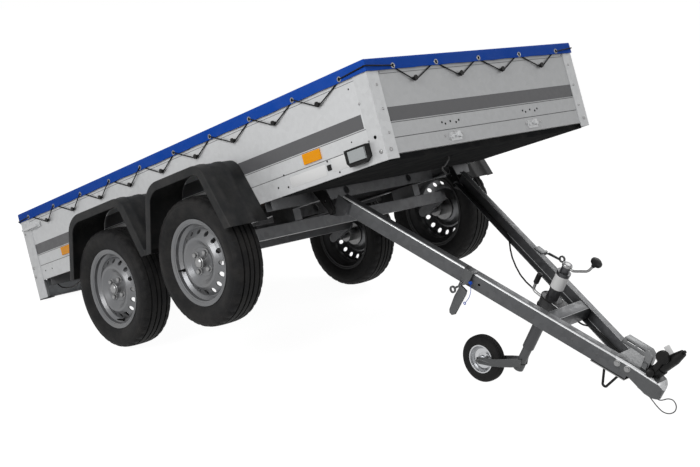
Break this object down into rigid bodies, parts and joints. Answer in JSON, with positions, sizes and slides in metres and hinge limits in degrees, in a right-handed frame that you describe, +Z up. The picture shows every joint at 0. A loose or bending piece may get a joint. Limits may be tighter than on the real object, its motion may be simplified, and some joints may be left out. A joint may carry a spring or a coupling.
{
  "type": "tipping utility trailer",
  "caption": "Flat-covered tandem-axle utility trailer with a hinged drawbar, shown tipped on its rear wheels and jockey wheel.",
  "frame": {"origin": "on the ground under the middle of the whole trailer's box", "axes": "+X to the coupling (forward), +Y to the trailer's left, +Z up"},
  "size_m": [3.5196, 1.67, 1.3656],
  "materials": {
    "galvanised": "spangled galvanised sheet",
    "galvanised_arm": "hot dip galvanised",
    "floor": "film faced plywood",
    "guard": "grained",
    "black_plastic": "satin",
    "cover": "coated cloth",
    "tyre": "matt",
    "rim": "silver",
    "hub": "zinc plated",
    "zinc": "zinc plated",
    "amber": "reflector",
    "white_lens": "clear",
    "red_lens": "gloss",
    "cord": "braided elastic",
    "cable": "matt",
    "blue_cord": "braided",
    "steel_rope": "stranded"
  },
  "bodies": {
    "box": {"floor_panel": "floor", "side_wall_left": "galvanised", "side_wall_right": "galvanised", "front_wall": "galvanised", "corner_posts": "galvanised", "rear_beam": "galvanised_arm", "long_rails": "galvanised_arm", "cross_members": "galvanised_arm", "front_tray": "galvanised_arm", "hinge_brackets": "galvanised_arm", "gate_hinges_fixed": "zinc", "axle_front": "galvanised_arm", "axle_rear": "galvanised_arm", "mudguard_left": "guard", "mudguard_right": "guard", "cover": "cover", "lacing_buttons": "black_plastic", "lacing_cord": "cord", "box_catches": "zinc", "box_wiring": "cable", "marker_housings": "black_plastic", "marker_lenses": "white_lens", "side_reflectors": "amber", "rear_lamps": "red_lens"},
    "tailgate": {"tailgate_panel": "galvanised", "tailgate_hinges": "zinc", "cover_rear_flap": "cover"},
    "drawbar": {"arm_left": "galvanised_arm", "arm_right": "galvanised_arm", "hinge_plates": "galvanised_arm", "crossbar": "galvanised_arm", "coupling_head": "zinc", "coupling_handle": "zinc", "coupling_fixings": "zinc", "plug_holder": "black_plastic", "plug": "black_plastic", "toggle_clamps": "zinc", "support_strap": "black_plastic", "jockey_clamp": "zinc", "drawbar_cable": "cable", "safety_cable": "steel_rope", "clamp_cord": "blue_cord"},
    "wheel_front_left": {"tyre_front_left": "tyre", "rim_front_left": "rim", "hub_front_left": "hub"},
    "wheel_front_right": {"tyre_front_right": "tyre", "rim_front_right": "rim", "hub_front_right": "hub"},
    "wheel_rear_left": {"tyre_rear_left": "tyre", "rim_rear_left": "rim", "hub_rear_left": "hub"},
    "wheel_rear_right": {"tyre_rear_right": "tyre", "rim_rear_right": "rim", "hub_rear_right": "hub"},
    "jockey_tube": {"jockey_outer_tube": "zinc", "jockey_crank": "black_plastic"},
    "jockey_leg": {"jockey_leg_tube": "zinc"},
    "jockey_fork": {"jockey_fork": "zinc"},
    "jockey_wheel": {"jockey_tyre": "tyre", "jockey_rim": "zinc"}
  },
  "joints": [
    {"name": "tipping", "type": "hinge", "parent": "box", "child": "drawbar", "pos_m": [0.3715, 0, 0.71978], "axis": [0, 1, 0], "range_deg": [-45, 0]},
    {"name": "spin_front_left", "type": "hinge", "parent": "box", "child": "wheel_front_left", "pos_m": [-0.01589, 0.739, 0.50642], "axis": [0, 1, 0], "continuous": true},
    {"name": "spin_front_right", "type": "hinge", "parent": "box", "child": "wheel_front_right", "pos_m": [-0.01589, -0.739, 0.50642], "axis": [0, 1, 0], "continuous": true},
    {"name": "spin_rear_left", "type": "hinge", "parent": "box", "child": "wheel_rear_left", "pos_m": [-0.65582, 0.739, 0.2735], "axis": [0, 1, 0], "continuous": true},
    {"name": "spin_rear_right", "type": "hinge", "parent": "box", "child": "wheel_rear_right", "pos_m": [-0.65582, -0.739, 0.2735], "axis": [0, 1, 0], "continuous": true},
    {"name": "tailgate_fold", "type": "hinge", "parent": "box", "child": "tailgate", "pos_m": [-1.6429, 0, 0.1143], "axis": [0, -1, 0], "range_deg": [0, 90]},
    {"name": "jockey_clamp_slide", "type": "slide", "parent": "drawbar", "child": "jockey_tube", "axis": [0.4226, 0, 0.9063], "range_m": [0, 0.15]},
    {"name": "jockey_screw", "type": "slide", "parent": "jockey_tube", "child": "jockey_leg", "axis": [0.4226, 0, 0.9063], "range_m": [-0.1, 0.045]},
    {"name": "jockey_swivel", "type": "hinge", "parent": "jockey_leg", "child": "jockey_fork", "pos_m": [1.04261, 0, 0.12878], "axis": [0.4226, 0, 0.9063], "continuous": true},
    {"name": "jockey_spin", "type": "hinge", "parent": "jockey_fork", "child": "jockey_wheel", "pos_m": [0.85154, 0, 0.1], "axis": [0, 1, 0], "continuous": true}
  ]
}
